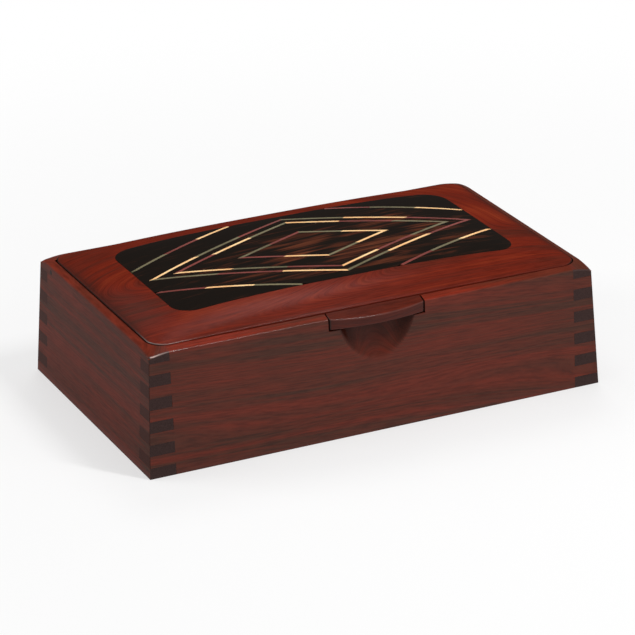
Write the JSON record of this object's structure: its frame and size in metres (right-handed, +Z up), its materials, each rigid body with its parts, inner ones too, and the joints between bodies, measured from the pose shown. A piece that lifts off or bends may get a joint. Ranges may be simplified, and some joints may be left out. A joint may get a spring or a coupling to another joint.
{
  "type": "inlaid jewelry box",
  "caption": "Finger-jointed hardwood jewelry box with leaning walls and a crowned, inlaid lid on concealed pins.",
  "frame": {"origin": "middle of the foot, on the surface that the box stands on", "axes": "+X along the front wall to the right, +Y from the front wall to the back wall, +Z up"},
  "size_m": [0.305, 0.184, 0.09],
  "materials": {
    "wall_wood": "satin lacquer over dark red-brown hardwood",
    "bottom_wood": "plain sanded plywood",
    "suede": "dark suede",
    "brass": "drawn brass rod",
    "plug_wood": "satin lacquer over end grain",
    "lid_wood": "satin lacquer over orange-red hardwood",
    "panel_wood": "polished near-black wood with brown streaks",
    "pull_wood": "satin lacquer over dark red hardwood",
    "cream_inlay": "satin lacquer over pale wood",
    "grey_green_inlay": "satin lacquer over grey-green wood",
    "red_brown_inlay": "satin lacquer over red-brown wood"
  },
  "bodies": {
    "box": {"front_wall": "wall_wood", "back_wall": "wall_wood", "left_wall": "wall_wood", "right_wall": "wall_wood", "bottom_panel": "bottom_wood", "base_lining": "suede", "left_hinge_pin": "brass", "right_hinge_pin": "brass", "left_pin_plug": "plug_wood", "right_pin_plug": "plug_wood"},
    "lid": {"lid_board": "lid_wood", "lid_panel": "panel_wood", "lid_pull": "pull_wood", "inlay_small_back_right_1_cream": "cream_inlay", "inlay_small_back_right_2_grey_green": "grey_green_inlay", "inlay_small_back_left_1_grey_green": "grey_green_inlay", "inlay_small_back_left_2_red_brown": "red_brown_inlay", "inlay_small_front_left_1_red_brown": "red_brown_inlay", "inlay_small_front_left_2_cream": "cream_inlay", "inlay_small_front_right_1_cream": "cream_inlay", "inlay_small_front_right_2_grey_green": "grey_green_inlay", "inlay_inner_back_right_1_grey_green": "grey_green_inlay", "inlay_inner_back_right_2_red_brown": "red_brown_inlay", "inlay_inner_back_right_3_cream": "cream_inlay", "inlay_inner_back_left_1_red_brown": "red_brown_inlay", "inlay_inner_back_left_2_cream": "cream_inlay", "inlay_inner_back_left_3_grey_green": "grey_green_inlay", "inlay_inner_front_left_1_cream": "cream_inlay", "inlay_inner_front_left_2_grey_green": "grey_green_inlay", "inlay_inner_front_left_3_red_brown": "red_brown_inlay", "inlay_inner_front_right_1_grey_green": "grey_green_inlay", "inlay_inner_front_right_2_red_brown": "red_brown_inlay", "inlay_inner_front_right_3_cream": "cream_inlay", "inlay_outer_back_right_1_red_brown": "red_brown_inlay", "inlay_outer_back_right_2_cream": "cream_inlay", "inlay_outer_back_right_3_grey_green": "grey_green_inlay", "inlay_outer_back_left_1_cream": "cream_inlay", "inlay_outer_back_left_2_grey_green": "grey_green_inlay", "inlay_outer_back_left_3_red_brown": "red_brown_inlay", "inlay_outer_front_left_1_grey_green": "grey_green_inlay", "inlay_outer_front_left_2_red_brown": "red_brown_inlay", "inlay_outer_front_left_3_cream": "cream_inlay", "inlay_outer_front_right_1_red_brown": "red_brown_inlay", "inlay_outer_front_right_2_cream": "cream_inlay", "inlay_outer_front_right_3_grey_green": "grey_green_inlay", "inlay_corner_back_right_1_cream": "cream_inlay", "inlay_corner_back_right_2_grey_green": "grey_green_inlay", "inlay_corner_back_right_3_red_brown": "red_brown_inlay", "inlay_corner_back_left_1_grey_green": "grey_green_inlay", "inlay_corner_back_left_2_red_brown": "red_brown_inlay", "inlay_corner_back_left_3_cream": "cream_inlay", "inlay_corner_front_left_1_red_brown": "red_brown_inlay", "inlay_corner_front_left_2_cream": "cream_inlay", "inlay_corner_front_left_3_grey_green": "grey_green_inlay", "inlay_corner_front_right_1_cream": "cream_inlay", "inlay_corner_front_right_2_grey_green": "grey_green_inlay", "inlay_corner_front_right_3_red_brown": "red_brown_inlay"}
  },
  "joints": [
    {"name": "lid_hinge", "type": "hinge", "parent": "box", "child": "lid", "pos_m": [0, 0.06885, 0.0738], "axis": [-1, 0, 0], "range_deg": [0, 95]}
  ]
}
